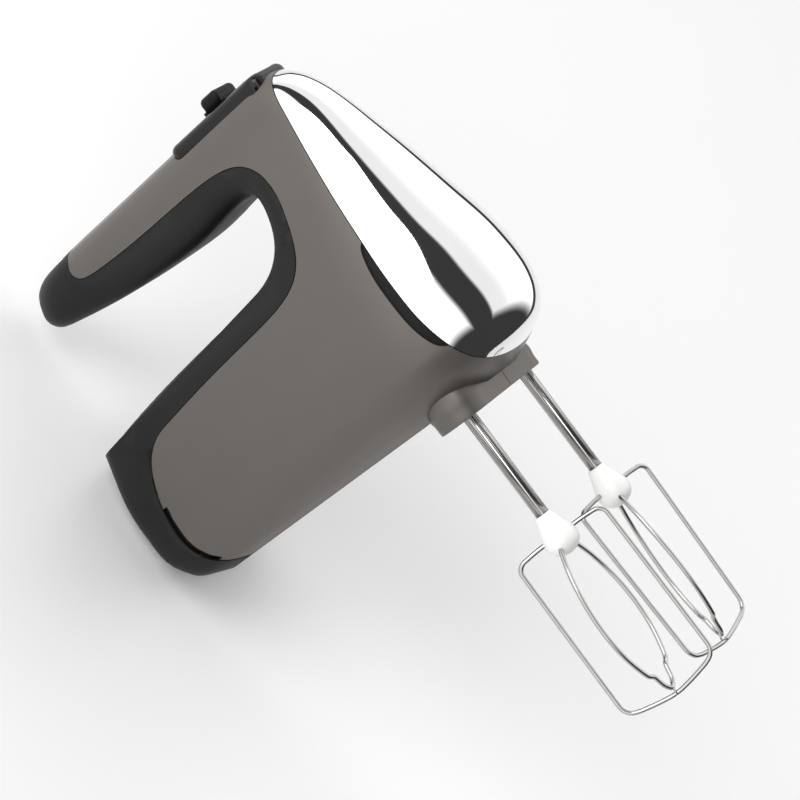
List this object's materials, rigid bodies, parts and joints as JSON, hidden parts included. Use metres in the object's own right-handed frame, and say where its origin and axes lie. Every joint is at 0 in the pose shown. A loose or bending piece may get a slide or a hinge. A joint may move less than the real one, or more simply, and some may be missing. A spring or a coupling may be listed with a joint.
{
  "type": "hand mixer",
  "caption": "Electric hand mixer with a handle over a motor housing, a mirrored nose cover, a speed slider and a pair of wire beaters, standing on its heel.",
  "frame": {"origin": "middle of the flat heel that the mixer stands on", "axes": "+Z from the heel to the nose, +X the way the beaters point, +Y the mixer's left side"},
  "size_m": [0.3068, 0.092, 0.2275],
  "materials": {
    "taupe_plastic": "satin metallic paint on moulded plastic",
    "soft_grip": "matt soft-touch coating",
    "heel_plastic": "fine moulded texture",
    "bright_trim": "polished ring",
    "chrome_plate": "mirror plated plastic",
    "matt_black": "matt moulded plastic",
    "rubber": "moulded rubber",
    "cast_alloy": "as cast",
    "steel": "polished stainless steel",
    "bronze": "sintered bronze",
    "dark_steel": "laminated or plain steel",
    "copper": "enamelled copper",
    "carbon": "pressed carbon",
    "gloss_black": "gloss moulded plastic",
    "acetal": "moulded gear plastic",
    "board": "solder mask",
    "white_nylon": "semi-gloss nylon"
  },
  "bodies": {
    "housing": {"side_shell_left": "taupe_plastic", "side_shell_right": "taupe_plastic", "core_shell_left": "soft_grip", "core_shell_right": "soft_grip", "heel_cap": "heel_plastic", "heel_trim": "bright_trim", "front_cover": "chrome_plate", "vent_grilles": "matt_black", "cord_gland": "rubber", "collar_plate": "matt_black", "gearbox_frame": "cast_alloy", "gearbox_cover": "cast_alloy", "gearbox_screws": "steel", "spindle_bushes": "bronze", "stator_core": "dark_steel", "field_coils": "copper", "motor_bracket": "matt_black", "rear_bearing": "bronze", "front_bearing": "steel", "worm_end_bush": "bronze", "brush_holders": "bronze", "carbon_brushes": "carbon", "brush_springs": "steel", "control_panel": "gloss_black", "control_frame": "matt_black", "switch_block": "matt_black", "circuit_board": "board", "eject_spring": "steel", "turbo_spring": "steel"},
    "rotor": {"motor_shaft": "steel", "worm_gear": "dark_steel", "armature_core": "dark_steel", "armature_windings": "copper", "commutator": "copper", "cooling_fan": "matt_black"},
    "speed_slide": {"speed_selector": "matt_black", "contact_slider": "matt_black"},
    "ejector": {"eject_button": "gloss_black", "ejector_fork": "acetal"},
    "turbo": {"turbo_button": "matt_black"},
    "spindle_right_body": {"drive_gear_right": "acetal", "spindle_right": "steel"},
    "beater_right": {"beater_shaft_right": "steel", "beater_hub_right": "white_nylon", "outer_loop_right": "steel", "inner_loop_right": "steel"},
    "spindle_left_body": {"drive_gear_left": "acetal", "spindle_left": "steel"},
    "beater_left": {"beater_shaft_left": "steel", "beater_hub_left": "white_nylon", "outer_loop_left": "steel", "inner_loop_left": "steel"}
  },
  "joints": [
    {"name": "motor_spin", "type": "hinge", "parent": "housing", "child": "rotor", "pos_m": [-0.003, 0, 0.1], "axis": [0, 0, 1], "continuous": true},
    {"name": "spindle_right_spin", "type": "hinge", "parent": "housing", "child": "spindle_right_body", "pos_m": [0, -0.02325, 0.184], "axis": [1, 0, 0], "continuous": true},
    {"name": "spindle_left_spin", "type": "hinge", "parent": "housing", "child": "spindle_left_body", "pos_m": [0, 0.02325, 0.184], "axis": [1, 0, 0], "continuous": true},
    {"name": "eject_press", "type": "slide", "parent": "housing", "child": "ejector", "axis": [1, 0, 0], "range_m": [0, 0.003], "stiffness_N_per_m": 900, "springref_m": -0.002, "deforming": ["eject_spring"]},
    {"name": "beater_right_release", "type": "slide", "parent": "spindle_right_body", "child": "beater_right", "axis": [1, 0, 0], "range_m": [0, 0.003]},
    {"name": "beater_left_release", "type": "slide", "parent": "spindle_left_body", "child": "beater_left", "axis": [1, 0, 0], "range_m": [0, 0.003]},
    {"name": "speed_select", "type": "slide", "parent": "housing", "child": "speed_slide", "axis": [0, 0, 1], "range_m": [-0.016, 0]},
    {"name": "turbo_press", "type": "slide", "parent": "housing", "child": "turbo", "axis": [1, 0, 0], "range_m": [0, 0.002], "stiffness_N_per_m": 500, "springref_m": -0.001, "deforming": ["turbo_spring"]}
  ],
  "couplings": [
    {"joint": "spindle_right_spin", "follows": "motor_spin", "ratio": -0.083333},
    {"joint": "spindle_left_spin", "follows": "motor_spin", "ratio": 0.083333},
    {"joint": "beater_right_release", "follows": "eject_press", "ratio": 1},
    {"joint": "beater_left_release", "follows": "eject_press", "ratio": 1}
  ]
}
